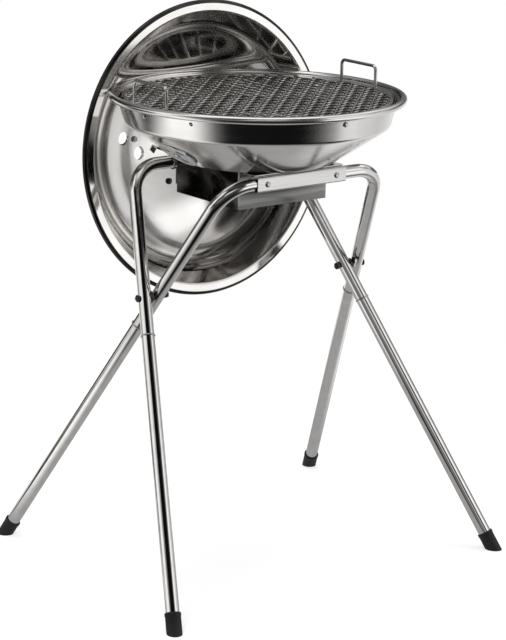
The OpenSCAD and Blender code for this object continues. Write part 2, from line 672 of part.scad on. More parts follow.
fire_bowl();
base_box();
bowl_screws();
bowl_nuts();
rear_sleeve();
sleeve_rivets();
grate_brackets();
bracket_screws();
bracket_nuts();
bowl_damper_rivet();
bowl_damper();
rear_bar_frame();
pivot_bolts();
pivot_spacers();
pivot_nuts();
front_bar_frame();
front_clip();
clip_rivets();
leg_front_left();
leg_front_right();
leg_rear_left();
leg_rear_right();
collar_front_left();
collar_front_right();
collar_rear_left();
collar_rear_right();
cap_front_left();
cap_front_right();
cap_rear_left();
cap_rear_right();
cooking_grate();
grate_handle_left();
grate_handle_right();
charcoal_grate();
lid_shell();
lid_handle();
handle_screws();
lid_damper_rivet();
lid_damper();
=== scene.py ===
from math import atan, atan2, cos, hypot, pi, radians, sin, sqrt, tan

import bmesh
import bpy
import numpy as np
from mathutils import Matrix, Vector


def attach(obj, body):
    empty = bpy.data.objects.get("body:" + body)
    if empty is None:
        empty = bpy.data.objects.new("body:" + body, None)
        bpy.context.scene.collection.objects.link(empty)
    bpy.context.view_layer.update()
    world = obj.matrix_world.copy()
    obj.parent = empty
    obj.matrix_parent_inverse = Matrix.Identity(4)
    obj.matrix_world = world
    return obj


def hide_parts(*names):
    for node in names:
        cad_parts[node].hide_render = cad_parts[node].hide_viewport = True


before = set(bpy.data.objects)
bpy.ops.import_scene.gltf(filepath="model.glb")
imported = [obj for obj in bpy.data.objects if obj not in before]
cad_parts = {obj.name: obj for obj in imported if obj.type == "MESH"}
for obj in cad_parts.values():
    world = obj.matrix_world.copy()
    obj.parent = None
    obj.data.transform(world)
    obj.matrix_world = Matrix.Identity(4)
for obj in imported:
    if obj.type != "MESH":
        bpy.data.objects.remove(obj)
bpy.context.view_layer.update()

scene = bpy.context.scene
scene.view_settings.view_transform = "Standard"

# ---------------------------------------------------------------- camera
# A long lens about three metres off, in front of the grill and to its left, a
# little above the bowl and looking down at it. Sizes from here on are in
# millimetres, apart from the studio's, which are in metres.
MM = 0.001
FRAME_HEIGHT_PX = 640
FOCAL_PX = 2432.5
LENS_PLACE = (-1773.2, -2296.0, 1053.8)
yaw, pitch, roll = radians(37.79), radians(-14.82), radians(1.18)
look = Vector((cos(pitch) * sin(yaw), cos(pitch) * cos(yaw), sin(pitch)))
level = Vector((cos(yaw), -sin(yaw), 0))
upright = level.cross(look)
right = level * cos(roll) + upright * sin(roll)
above = upright * cos(roll) - level * sin(roll)

lens = bpy.data.cameras.new("camera")
lens.sensor_fit = "VERTICAL"
lens.sensor_height = 36
lens.lens = FOCAL_PX * lens.sensor_height / FRAME_HEIGHT_PX
lens.clip_end = 60000 * MM
camera = bpy.data.objects.new("camera", lens)
scene.collection.objects.link(camera)
camera.matrix_world = Matrix((right, above, -look)).transposed().to_4x4()
camera.location = Vector(LENS_PLACE) * MM
scene.camera = camera

# ---------------------------------------------------------------- studio
# White paper under the grill, three large soft lamps, and a room that only the
# polished steel mirrors: pale panels and dark gaps round it, a white ceiling.


def add(tree, kind, inputs=None, **settings):
    """Adds one shader node with its settings, and fills its inputs with values or links."""
    made = tree.nodes.new("ShaderNode" + kind)
    for name, value in settings.items():
        setattr(made, name, value)
    for key, value in (inputs or {}).items():
        if isinstance(value, bpy.types.NodeSocket):
            tree.links.new(value, made.inputs[key])
        else:
            made.inputs[key].default_value = value
    return made


def tone(code):
    """A written sRGB colour as the linear one that a socket takes."""
    parts = [int(code[i:i + 2], 16) / 255 for i in (0, 2, 4)]
    return [p / 12.92 if p <= 0.04045 else ((p + 0.055) / 1.055) ** 2.4 for p in parts] + [1]


def set_stops(ramp, stops):
    """Fills a colour ramp with (position, colour code) pairs."""
    band = ramp.color_ramp.elements
    while len(band) > 1:
        band.remove(band[-1])
    band[0].position, band[0].color = stops[0][0], tone(stops[0][1])
    for place, code in stops[1:]:
        band.new(place).color = tone(code)


room = bpy.data.worlds.new("studio")
room.use_nodes = True
air = room.node_tree
air.nodes.clear()


def bearing(tree, place):
    """Turn round the grill of a place or direction, 0 to 1, with the lens at 0.5."""
    across = add(tree, "VectorMath", {0: place, 1: level}, operation="DOT_PRODUCT")
    toward = add(tree, "VectorMath", {0: place, 1: (-sin(yaw), -cos(yaw), 0)},
                 operation="DOT_PRODUCT")
    angle = add(tree, "Math", {0: across.outputs["Value"], 1: toward.outputs["Value"]},
                operation="ARCTAN2")
    return add(tree, "Math", {0: angle.outputs[0], 1: 1 / (2 * pi), 2: 0.5},
               operation="MULTIPLY_ADD").outputs[0]


def changing(tree, amount, span, first, second):
    """A colour that turns from one to another while an amount runs over a span."""
    share = add(tree, "MapRange", {"Value": amount, "From Min": span[0], "From Max": span[1]})
    return add(tree, "Mix", {0: share.outputs[0], 6: first, 7: second},
               data_type="RGBA").outputs[2]


# The walls in three bands, one above the other. A look's rise is 0 level and 1
# straight up, and each band turns to the next between two rises.
LOW_TO_MIDDLE, MIDDLE_TO_UPPER, UPPER_TO_CEILING = (0.24, 0.36), (0.52, 0.62), (0.86, 0.91)
MIRROR_STRENGTH, LIGHT_STRENGTH = 1.3, 0.62
sky = add(air, "TexCoord").outputs["Generated"]
way = add(air, "SeparateXYZ", {0: sky})
turn = bearing(air, sky)
low = add(air, "ValToRGB", {0: turn})
set_stops(low, [(0.0, "606060"), (0.04, "202020"), (0.07, "0C0C0C"), (0.18, "141414"),
                (0.21, "A0A0A0"), (0.25, "E0E0E0"), (0.28, "FFFFFF"), (0.31, "E8E8E8"),
                (0.34, "505050"), (0.39, "303030"), (0.43, "707070"), (0.48, "707070"),
                (0.51, "505050"), (0.59, "404040"), (0.63, "656565"), (0.67, "A8A8A8"),
                (0.71, "C0C0C0"), (0.74, "D0D0D0"), (0.80, "D0D0D0"), (0.84, "707070"),
                (0.90, "505050"), (1.0, "606060")])
middle = add(air, "ValToRGB", {0: turn})
set_stops(middle, [(0.0, "606060"), (0.15, "404040"), (0.22, "181818"), (0.25, "808080"),
                   (0.285, "F0F0F0"), (0.335, "E8E8E8"), (0.36, "909090"), (0.375, "404040"),
                   (0.46, "404040"), (0.49, "CCCCCC"), (0.55, "CCCCCC"), (0.585, "606060"),
                   (0.62, "181818"), (0.645, "404040"), (0.66, "FFFFFF"), (0.735, "F8F8F8"),
                   (0.76, "D0D0D0"), (0.80, "707070"), (0.84, "C4C4C4"), (0.90, "C0C0C0"),
                   (1.0, "606060")])
upper = add(air, "ValToRGB", {0: turn})
set_stops(upper, [(0.0, "606060"), (0.16, "909090"), (0.29, "808080"), (0.32, "F8F8F8"),
                  (0.36, "F0F0F0"), (0.385, "C0C0C0"), (0.41, "303030"), (0.43, "080808"),
                  (0.60, "080808"), (0.64, "505050"), (0.68, "808080"), (0.71, "C0C0C0"),
                  (0.80, "B0B0B0"), (0.83, "F8F8F8"), (0.90, "F0F0F0"), (1.0, "606060")])
rise = way.outputs["Z"]
walls = changing(air, rise, LOW_TO_MIDDLE, low.outputs["Color"], middle.outputs["Color"])
walls = changing(air, rise, MIDDLE_TO_UPPER, walls, upper.outputs["Color"])
seen = changing(air, rise, UPPER_TO_CEILING, walls, tone("FFFFFF"))
mirrored = add(air, "Background", {"Color": seen, "Strength": MIRROR_STRENGTH})
soft = add(air, "Background", {"Color": tone("FFFFFF"), "Strength": LIGHT_STRENGTH})
white = add(air, "Background", {"Color": tone("FFFFFF"), "Strength": 1.0})
ray = add(air, "LightPath")
lit = add(air, "MixShader", {0: ray.outputs["Is Glossy Ray"], 1: soft.outputs[0],
                             2: mirrored.outputs[0]})
plain = add(air, "Math", {0: ray.outputs["Is Camera Ray"], 1: ray.outputs["Is Transmission Ray"]},
            operation="MAXIMUM")
air_out = add(air, "OutputWorld")
whole = add(air, "MixShader", {0: plain.outputs[0], 1: lit.outputs[0], 2: white.outputs[0]})
air.links.new(whole.outputs[0], air_out.inputs[0])
scene.world = room

paper = bpy.data.materials.new("white studio paper")
paper.use_nodes = True
sheet_tree = paper.node_tree
sheet_tree.nodes.clear()
fibre = add(sheet_tree, "TexNoise", {"Scale": 900.0, "Detail": 3.0})
grain = add(sheet_tree, "Bump", {"Strength": 0.05, "Distance": 0.0002, "Height": fibre.outputs[0]})
lit_paper = add(sheet_tree, "BsdfDiffuse", {"Color": tone("EDEDED"), "Normal": grain.outputs[0]})
# What the steel mirrors of the paper: a grey middle under the grill, a painted shadow,
# and three rings round it of pale paper and painted dark bands, by their distance from its middle
MIDDLE_TO_INNER, INNER_TO_OUTER, OUTER_TO_DISTANT = (0.25, 0.5), (0.64, 0.76), (1.0, 1.15)
spot = add(sheet_tree, "TexCoord").outputs["Object"]
reach = add(sheet_tree, "VectorMath", {0: spot}, operation="LENGTH").outputs["Value"]
turn = bearing(sheet_tree, spot)
inner = add(sheet_tree, "ValToRGB", {0: turn})
set_stops(inner, [(0.0, "959595"), (0.13, "959595"), (0.18, "B0B0B0"), (0.215, "C8C8C8"),
                  (0.25, "808080"), (0.27, "B0B0B0"), (0.30, "F0F0F0"), (0.35, "F0F0F0"),
                  (0.385, "B0B0B0"), (0.41, "202020"), (0.43, "080808"), (0.75, "0C0C0C"),
                  (0.79, "808080"), (0.84, "C8C8C8"), (0.89, "F0F0F0"), (0.93, "A0A0A0"),
                  (1.0, "959595")])
outer = add(sheet_tree, "ValToRGB", {0: turn})
set_stops(outer, [(0.0, "A0A0A0"), (0.04, "B0B0B0"), (0.07, "D8D8D8"), (0.125, "C8C8C8"),
                  (0.167, "A0A0A0"), (0.208, "C8C8C8"), (0.25, "E8E8E8"), (0.29, "FFFFFF"),
                  (0.347, "FFFFFF"), (0.375, "C0C0C0"), (0.403, "606060"), (0.43, "141414"),
                  (0.61, "0C0C0C"), (0.64, "303030"), (0.667, "606060"), (0.694, "909090"),
                  (0.715, "CCCCCC"), (0.79, "D7D7D7"), (0.83, "C8C8C8"), (0.89, "D8D8D8"),
                  (0.93, "A0A0A0"), (1.0, "A0A0A0")])
distant = add(sheet_tree, "ValToRGB", {0: turn})
set_stops(distant, [(0.0, "C8C8C8"), (0.07, "F0F0F0"), (0.13, "E2E2E2"), (0.167, "B0B0B0"),
                    (0.19, "606060"), (0.21, "202020"), (0.265, "404040"), (0.285, "E2E2E2"),
                    (0.33, "D8D8D8"), (0.375, "989898"), (0.425, "303030"), (0.63, "303030"),
                    (0.655, "FFFFFF"), (0.735, "F8F8F8"), (0.76, "D7D7D7"), (0.80, "D0D0D0"),
                    (0.833, "C0C0C0"), (0.875, "C8C8C8"), (0.93, "DCDCDC"), (1.0, "C8C8C8")])
painted_bands = changing(sheet_tree, reach, INNER_TO_OUTER, inner.outputs["Color"],
                 outer.outputs["Color"])
painted_bands = changing(sheet_tree, reach, OUTER_TO_DISTANT, painted_bands, distant.outputs["Color"])
# The grey middle under the grill is a painted shadow, seen only in the steel
mirrored = changing(sheet_tree, reach, MIDDLE_TO_INNER, tone("9A9A9A"), painted_bands)
ray = add(sheet_tree, "LightPath")
seen = add(sheet_tree, "Mix", {0: ray.outputs["Is Camera Ray"], 6: mirrored,
                               7: tone("FFFFFF")}, data_type="RGBA")
direct = add(sheet_tree, "Math", {0: ray.outputs["Is Glossy Ray"], 1: MIRROR_STRENGTH,
                                  2: ray.outputs["Is Camera Ray"]}, operation="MULTIPLY_ADD")
glow = add(sheet_tree, "Emission", {"Color": seen.outputs[2], "Strength": direct.outputs[0]})
# The paper's own light drowns its shadows a little way off, as on a lit table
SHADOW_FULL, SHADOW_GONE, LEAST_GLOW = 0.35, 1.2, 0.62
share = add(sheet_tree, "MapRange", {"Value": reach, "From Min": SHADOW_FULL,
                                     "From Max": SHADOW_GONE, "To Min": LEAST_GLOW,
                                     "To Max": 1.0})
part = add(sheet_tree, "Mix", {0: ray.outputs["Is Glossy Ray"], 2: share.outputs[0], 3: 1.0})
glow_part = add(sheet_tree, "MixShader", {0: part.outputs[0], 1: lit_paper.outputs[0],
                                          2: glow.outputs[0]})
paper_out = add(sheet_tree, "OutputMaterial")
sheet_tree.links.new(glow_part.outputs[0], paper_out.inputs[0])

PAPER_HALF = 25
ground = bpy.data.meshes.new("floor")
ground.from_pydata([(x * PAPER_HALF, y * PAPER_HALF, 0)
                    for x, y in ((-1, -1), (1, -1), (1, 1), (-1, 1))], [], [(0, 1, 2, 3)])
ground.materials.append(paper)
floor = bpy.data.objects.new("floor", ground)
scene.collection.objects.link(floor)

LAMPS_AIM = Vector((0, 0, 0.4))
for name, spot, size, power in (("lamp_left", (-2.6, -1.6, 2.6), 2.2, 95),
                                ("lamp_right", (2.4, -2.0, 2.2), 2.0, 55),
                                ("lamp_top", (0.2, 0.6, 3.2), 2.4, 60)):
    lamp = bpy.data.lights.new(name, "AREA")
    lamp.shape, lamp.size, lamp.energy = "SQUARE", size, power
    holder = bpy.data.objects.new(name, lamp)
    scene.collection.objects.link(holder)
    holder.location = spot
    holder.rotation_euler = (LAMPS_AIM - Vector(spot)).to_track_quat("-Z", "Y").to_euler()
    holder.visible_glossy = False

# ---------------------------------------------------------------- fire bowl
# One disc of stainless steel, spun to a flat bottom, a cone, a shoulder and a
# short wall. Its edge is rolled outward to a bead. Air holes are drilled after.
MID_Y = -8.923
BOWL_Z = 490.5
SHEET = 1.2
WALL_LEAN, CONE_SLOPE = radians(13.7363), radians(34.3402)
# Corners of its section, as (radius, height), and the bends at them
FLAT_R, FLAT_BEND = 94.4, 12
SHOULDER, SHOULDER_BEND = (161.0, 536.0), 9
WALL_TOP, WALL_TOP_BEND = (168.0, 564.6), 2.5
LIP, LIP_BEND = (172.1, 566.9), 1.5
LIP_END = (172.31, 568.35)
BEAD, BEAD_R, BEAD_FROM, BEAD_TO = (175.5, 567.5), 4.5, 165, -95


def rounded(path, radii, steps=8):
    """A path with each corner rounded to its radius."""
    made = []
    for i, (point, radius) in enumerate(zip(path, radii)):
        here = Vector(point)
        if not radius:
            made.append(here)
            continue
        back = (Vector(path[i - 1]) - here).normalized()
        on = (Vector(path[i + 1]) - here).normalized()
        half = back.angle(on) / 2
        centre = here + (back + on).normalized() * radius / sin(half)
        start = here + back * radius / tan(half) - centre
        turn = (2 * half - pi) if back.cross(on) > 0 else (pi - 2 * half)
        made += [centre + Matrix.Rotation(turn * k / steps, 2) @ start for k in range(steps + 1)]
    return made


def shifted(path, by):
    """A path set over to its left."""
    made = []
    for i, point in enumerate(path):
        before = ((point - path[i - 1]) if i else (path[1] - point)).normalized()
        after = (path[i + 1] - point).normalized() if i + 1 < len(path) else before
        lean = (before + after).normalized()
        made.append(point + Vector((-lean.y, lean.x)) * by / lean.dot(before))
    return made


def thick(path, by):
    """The closed outline of a sheet that lies to the left of a path."""
    return path + shifted(path, by)[::-1]


def arc(centre, radius, first, last, steps):
    """Points round a centre, angles in degrees."""
    return [Vector((centre[0] + radius * cos(radians(first + (last - first) * k / steps)),
                    centre[1] + radius * sin(radians(first + (last - first) * k / steps))))
            for k in range(steps + 1)]


def turned(outline, steps):
    """Points and faces of a closed outline of (radius, height) turned round the Z axis."""
    points, rings, faces = [], [], []
    for r, z in outline:
        if r < 1e-6:
            rings.append([len(points)] * steps)
            points.append((0, 0, z))
        else:
            rings.append([len(points) + k for k in range(steps)])
            points += [(r * cos(2 * pi * k / steps), r * sin(2 * pi * k / steps), z)
                       for k in range(steps)]
    for low, high in zip(rings, rings[1:] + rings[:1]):
        for k in range(steps):
            n = (k + 1) % steps
            face = list(dict.fromkeys((low[k], high[k], high[n], low[n])))
            if len(face) > 2:
                faces.append(face)
    return points, faces


def make(name, shape, finish, crease=35):
    """A piece from points in millimetres and faces, smooth but where it is creased."""
    points, faces = shape
    mesh = bpy.data.meshes.new(name)
    work = bmesh.new()
    corners = [work.verts.new(Vector(p) * MM) for p in points]
    for face in faces:
        work.faces.new([corners[i] for i in face]).smooth = True
    bmesh.ops.recalc_face_normals(work, faces=work.faces)
    work.to_mesh(mesh)
    work.free()
    mesh.materials.append(finish)
    mesh.set_sharp_from_angle(angle=radians(crease))
    made = bpy.data.objects.new(name, mesh)
    scene.collection.objects.link(made)
    return made


def apply(made):
    """Makes a piece's modifiers part of its mesh."""
    graph = bpy.context.evaluated_depsgraph_get()
    mesh = bpy.data.meshes.new_from_object(made.evaluated_get(graph))
    made.modifiers.clear()
    made.data = mesh
    mesh.polygons.foreach_set("use_smooth", [True] * len(mesh.polygons))


def drilled(made, holes, crease=35, depth=20):
    """Cuts round holes into a piece, each given by its place and radius."""
    tool = bmesh.new()
    for place, radius in holes:
        bmesh.ops.create_cone(tool, cap_ends=True, segments=48, radius1=radius * MM,
                              radius2=radius * MM, depth=depth * MM, matrix=place)
    mesh = bpy.data.meshes.new("drill")
    tool.to_mesh(mesh)
    tool.free()
    drill = bpy.data.objects.new("drill", mesh)
    scene.collection.objects.link(drill)
    cut = made.modifiers.new("holes", "BOOLEAN")
    cut.object, cut.solver = drill, "EXACT"
    apply(made)
    made.data.set_sharp_from_angle(angle=radians(crease))
    bpy.data.objects.remove(drill)


def true_round(made, outline, crease=40, batch=4000, likeness=0.9):
    """Gives a turned shell the normals of its true round form, also beside its holes. Faces
    are worked in batches, and those unlike the round form, as in a hole, keep their own."""
    mesh = made.data
    start = np.array(outline, float) * MM
    end = np.roll(start, -1, axis=0)
    run = end - start
    length = np.maximum(np.hypot(run[:, 0], run[:, 1]), 1e-12)
    face = np.stack((run[:, 1], -run[:, 0]), 1) / length[:, None]
    ahead, behind = np.roll(face, -1, axis=0), np.roll(face, 1, axis=0)
    smooth_end = ((face * ahead).sum(1) > cos(radians(crease)))[:, None]
    smooth_start = ((face * behind).sum(1) > cos(radians(crease)))[:, None]
    at_end = np.where(smooth_end, face + ahead, face)
    at_start = np.where(smooth_start, face + behind, face)
    count = len(mesh.polygons)
    middle, normal = np.zeros(count * 3), np.zeros(count * 3)
    sizes = np.zeros(count, int)
    mesh.polygons.foreach_get("center", middle)
    mesh.polygons.foreach_get("normal", normal)
    mesh.polygons.foreach_get("loop_total", sizes)
    middle, normal = middle.reshape(-1, 3), normal.reshape(-1, 3)
    flat = np.stack((np.hypot(middle[:, 0], middle[:, 1]), middle[:, 2]), 1)
    nearest = np.zeros(count, int)
    for first in range(0, count, batch):
        part = flat[first:first + batch, None, :] - start[None]
        share = np.clip((part * run[None]).sum(2) / length ** 2, 0, 1)
        gap = np.hypot(*np.moveaxis(part - share[..., None] * run[None], 2, 0))
        nearest[first:first + batch] = gap.argmin(1)
    corner_face = np.repeat(np.arange(count), sizes)
    spots = np.zeros(len(mesh.vertices) * 3)
    mesh.vertices.foreach_get("co", spots)
    index = np.zeros(len(mesh.loops), int)
    mesh.loops.foreach_get("vertex_index", index)
    spot = spots.reshape(-1, 3)[index]
    own = nearest[corner_face]
    radius = np.hypot(spot[:, 0], spot[:, 1])
    part = np.stack((radius, spot[:, 2]), 1) - start[own]
    share = np.clip((part * run[own]).sum(1) / length[own] ** 2, 0, 1)[:, None]
    lean = at_start[own] * (1 - share) + at_end[own] * share
    out = spot[:, :2] / np.maximum(radius, 1e-9)[:, None]
    good = np.concatenate((out * lean[:, :1], lean[:, 1:]), 1)
    good /= np.maximum(np.linalg.norm(good, axis=1), 1e-9)[:, None]
    agree = (good * normal[corner_face]).sum(1)
    if agree.sum() < 0:
        good, agree = -good, -agree
    kept = np.zeros(len(mesh.loops) * 3)
    mesh.corner_normals.foreach_get("vector", kept)
    mesh.normals_split_custom_set(np.where((agree > likeness)[:, None], good,
                                           kept.reshape(-1, 3)))


def fit(made, body, slot, *nodes):
    """Fixes a piece to its body, in the place of the nodes that it stands for. Its points
    are set in the whole grill's axes, and those in its own are kept for its finish."""
    mesh = made.data
    points = np.zeros(len(mesh.vertices) * 3, np.float32)
    mesh.vertices.foreach_get("co", points)
    mesh.attributes.new("own", "FLOAT_VECTOR", "POINT").data.foreach_set("vector", points)
    mesh.transform(made.matrix_world)
    made.matrix_world = Matrix()
    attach(made, body)
    if nodes:
        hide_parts(*nodes)


def at(x=0.0, y=0.0, z=0.0):
    """A shift in millimetres."""
    return Matrix.Translation(Vector((x, y, z)) * MM)


def spin(angle, axis):
    """A turn in degrees."""
    return Matrix.Rotation(radians(angle), 4, axis)


def new_finish(name):
    """An empty material: its tree and its metal or plastic shader."""
    made = bpy.data.materials.new(name)
    made.use_nodes = True
    tree = made.node_tree
    tree.nodes.clear()
    shader = add(tree, "BsdfPrincipled")
    out = add(tree, "OutputMaterial")
    tree.links.new(shader.outputs[0], out.inputs[0])
    return made, tree, shader


def lathe_marks(tree, coarse, fine):
    """Two noises in rings round a spun piece's own axis, each of a width in millimetres."""
    place = add(tree, "Attribute", attribute_name="own").outputs["Vector"]
    parts = add(tree, "SeparateXYZ", {0: place})
    flat = add(tree, "VectorMath", {0: place, 1: (1, 1, 0)}, operation="MULTIPLY")
    radius = add(tree, "VectorMath", {0: flat.outputs[0]}, operation="LENGTH")
    ring = add(tree, "CombineXYZ", {0: radius.outputs["Value"], 2: parts.outputs["Z"]})
    return [add(tree, "TexNoise", {"Vector": ring.outputs[0], "Scale": 1000 / size, "Detail": 2.0})
            for size in (coarse, fine)], place


# Polished stainless steel, spun: a soft mirror whose fine rings draw the light
# out across them. The rings are 0.2 mm apart, drawn 1.5 mm so that they show.
# Its haze changes every 9 mm from the roller, its tone in clouds of 45 mm.
spun_steel, tree, shader = new_finish("spun stainless steel, polished")
(rings, fine), place = lathe_marks(tree, 9.0, 1.5)
cloud = add(tree, "TexNoise", {"Vector": place, "Scale": 22.0, "Detail": 4.0})
shade = add(tree, "ValToRGB", {0: cloud.outputs[0]})
set_stops(shade, [(0.3, "DAD8D5"), (0.7, "E6E4E2")])
haze = add(tree, "MapRange", {"Value": rings.outputs[0], "From Min": 0.3, "From Max": 0.7,
                              "To Min": 0.13, "To Max": 0.20})
relief = add(tree, "Bump", {"Strength": 0.12, "Distance": 0.00004, "Height": fine.outputs[0]})
tree.links.new(shade.outputs[0], shader.inputs["Base Color"])
tree.links.new(haze.outputs[0], shader.inputs["Roughness"])
tree.links.new(relief.outputs[0], shader.inputs["Normal"])
shader.inputs["Metallic"].default_value = 1.0
shader.inputs["Anisotropic"].default_value = 0.35
tree.links.new(add(tree, "Tangent", direction_type="RADIAL", axis="Z").outputs[0],
               shader.inputs["Tangent"])

# The same steel made dark: a dark mirror, brown to black, in clouds of 33 mm. On
# the tray's ends and the lid's rolled edge this dark is painted shade
darkened_steel, tree, shader = new_finish("stainless steel, darkened")
place = add(tree, "TexCoord").outputs["Object"]
cloud = add(tree, "TexNoise", {"Vector": place, "Scale": 30.0, "Detail": 4.0})
shade = add(tree, "ValToRGB", {0: cloud.outputs[0]})
set_stops(shade, [(0.3, "2C2A29"), (0.7, "4A4846")])
tree.links.new(shade.outputs[0], shader.inputs["Base Color"])
shader.inputs["Metallic"].default_value = 1.0
shader.inputs["Roughness"].default_value = 0.12

bowl_path = rounded([(0, BOWL_Z), (FLAT_R, BOWL_Z), SHOULDER, WALL_TOP, LIP, LIP_END],
                    [0, FLAT_BEND, SHOULDER_BEND, WALL_TOP_BEND, LIP_BEND, 0])
bowl_path = bowl_path[:-1] + arc(BEAD, BEAD_R - SHEET, BEAD_FROM, BEAD_TO, 30)
bowl_outline = thick(bowl_path, SHEET)
bowl = make("bowl", turned(bowl_outline, 256), spun_steel)


def wall_hole(angle, z):
    """The place of a hole square to the bowl's wall, in the bowl's own frame."""
    radius = SHOULDER[0] + (z - SHOULDER[1]) * tan(WALL_LEAN)
    return spin(angle, "Z") @ at(radius, 0, z) @ Matrix.Rotation(WALL_LEAN + pi / 2, 4, "Y")


WALL_AIR_ANGLE, WALL_AIR_Z, WALL_AIR_R = 25.2, 557, 2.5
BRACKET_HOLE_Z, BRACKET_HOLE_R = 557.4, 1.55
SCREW_X, SCREW_YS, FIXING_HOLE_R = 45, (-36, 44), 2.55
DAMPER_REACH, DAMPER_ANGLE = 120, 182
BOWL_PLATE_R = 25
AIR_R, AIR_PITCH = 0.26, 0.6    # shares of a damper plate's radius
bowl_place = at(0, MID_Y, 0)
on_cone = (spin(DAMPER_ANGLE, "Z")
           @ at(DAMPER_REACH, 0, BOWL_Z + (DAMPER_REACH - FLAT_R) * tan(CONE_SLOPE))
           @ Matrix.Rotation(pi - CONE_SLOPE, 4, "Y"))


def air_holes(place, r, turn_by=0):
    """A damper's three air holes and its rivet hole, for a plate of radius r."""
    return [(place @ spin(a + turn_by, "Z") @ at(-AIR_PITCH * r), AIR_R * r)
            for a in (0, 120, 240)] + [(place, FIXING_HOLE_R)]


drilled(bowl, [(wall_hole(a, WALL_AIR_Z), WALL_AIR_R)
               for a in (WALL_AIR_ANGLE, 180 - WALL_AIR_ANGLE,
                         180 + WALL_AIR_ANGLE, -WALL_AIR_ANGLE)]
        + [(wall_hole(a, BRACKET_HOLE_Z), BRACKET_HOLE_R) for a in (0, 90, 180, 270)]
        + [(at(x, y, BOWL_Z), FIXING_HOLE_R) for x in (-SCREW_X, SCREW_X) for y in SCREW_YS]
        + air_holes(on_cone, BOWL_PLATE_R))
true_round(bowl, bowl_outline)
# Faces that look up, below the wall, are the fire's side of the bowl, and take the darkened steel
DARK_BELOW, LOOKS_UP = 541, 0.2
bowl.data.materials.append(darkened_steel)
for face in bowl.data.polygons:
    face.material_index = int(face.normal.z > LOOKS_UP and face.center.z < DARK_BELOW * MM)
bowl.matrix_world = bowl_place
fit(bowl, "base", "bowl_steel", "fire_bowl")

# ---------------------------------------------------------------- bowl damper
# A pressed disc with three air holes that turns on a rivet under the cone. Its
# thumb tab is folded up from the edge. The same disc closes the lid's holes.
DAMPER_GAP, PLATE_EDGE = 0.3, 0.4
TAB_ROOT, TAB_REACH, TAB_RISE, TAB_BEND, TAB_HALF = 3, 10, 8, 2.2, 6
BOWL_TAB_ANGLE, BOWL_PLATE_TURN = 250, 60    # degrees
SHEET_EDGE, NODE_EDGE, WELD_GAP = 0.3, 0.25, 0.002

# Cold-rolled stainless sheet, bright, of the dampers and brackets: a clearer mirror
# than the spun steel, with a haze that drifts over 17 mm
bright_sheet, tree, shader = new_finish("stainless sheet, bright rolled")
place = add(tree, "TexCoord").outputs["Object"]
drift = add(tree, "TexNoise", {"Vector": place, "Scale": 60.0, "Detail": 5.0})
shade = add(tree, "ValToRGB", {0: drift.outputs[0]})
set_stops(shade, [(0.3, "DCDAD7"), (0.7, "E8E6E4")])
haze = add(tree, "MapRange", {"Value": drift.outputs[0], "To Min": 0.06, "To Max": 0.16})
tree.links.new(shade.outputs[0], shader.inputs["Base Color"])
tree.links.new(haze.outputs[0], shader.inputs["Roughness"])
shader.inputs["Metallic"].default_value = 1.0


def damper(name, r, tab_angle, turn_by):
    """A damper disc with its tab, lying on the XY plane with its outside towards +Z."""
    rim = rounded([(0, DAMPER_GAP), (r, DAMPER_GAP), (r, DAMPER_GAP + SHEET),
                   (0, DAMPER_GAP + SHEET)], [0, PLATE_EDGE, PLATE_EDGE, 0], 3)
    made = make(name, turned(rim, 128), bright_sheet)
    drilled(made, air_holes(at(), r, turn_by))
    true_round(made, rim)
    ear = thick(rounded([(r - TAB_ROOT, DAMPER_GAP), (r + TAB_REACH, DAMPER_GAP),
                         (r + TAB_REACH, DAMPER_GAP + TAB_RISE)], [0, TAB_BEND, 0], 5), SHEET)
    made_ear = make(name + "_tab", folded(ear, -TAB_HALF, TAB_HALF), bright_sheet)
    made_ear.matrix_world = spin(tab_angle, "Z")
    round_over(made_ear, SHEET_EDGE)
    return made, made_ear


def folded(outline, start, end, along_x=False):
    """Points and faces of an upright outline, drawn out straight along the Y or X axis."""
    n = len(outline)
    points = [(s, p[0], p[1]) if along_x else (p[0], s, p[1])
              for s in (start, end) for p in outline]
    sides = [(k, (k + 1) % n, n + (k + 1) % n, n + k) for k in range(n)]
    return points, sides + [tuple(range(n)), tuple(range(n, 2 * n))]


def round_over(made, width, steps=2, angle=35):
    """Breaks a piece's sharp edges, as a file or a press tool does."""
    edge = made.modifiers.new("edges", "BEVEL")
    edge.width, edge.segments, edge.limit_method = width * MM, steps, "ANGLE"
    edge.angle_limit, edge.harden_normals = radians(angle), True


def dress(node, finish):
    """Gives a node of the frame its finish, with broken edges and smooth faces."""
    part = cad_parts[node]
    part.data.materials.clear()
    part.data.materials.append(finish)
    part.data.polygons.foreach_set("use_smooth", [True] * len(part.data.polygons))
    weld = part.modifiers.new("weld", "WELD")
    weld.merge_threshold = WELD_GAP * MM
    round_over(part, NODE_EDGE)


# The bowl's own disc is duller: zinc dipped and passivated, nearly white, with a
# faint bloom of 8 mm
dull_zinc, tree, shader = new_finish("zinc, passivated white")
place = add(tree, "TexCoord").outputs["Object"]
bloom = add(tree, "TexNoise", {"Vector": place, "Scale": 120.0, "Detail": 5.0})
shade = add(tree, "ValToRGB", {0: bloom.outputs[0]})
set_stops(shade, [(0.3, "E6E6E4"), (0.7, "F6F6F5")])
tree.links.new(shade.outputs[0], shader.inputs["Base Color"])
shader.inputs["Metallic"].default_value = 0.3
shader.inputs["Roughness"].default_value = 0.45

disc, ear = damper("bowl_damper_disc", BOWL_PLATE_R, BOWL_TAB_ANGLE, BOWL_PLATE_TURN)
disc.data.materials[0] = dull_zinc
for part in (disc, ear):
    part.matrix_world = bowl_place @ on_cone @ part.matrix_world
fit(disc, "bowl_damper", "damper_steel", "bowl_damper")
fit(ear, "bowl_damper", "damper_steel")

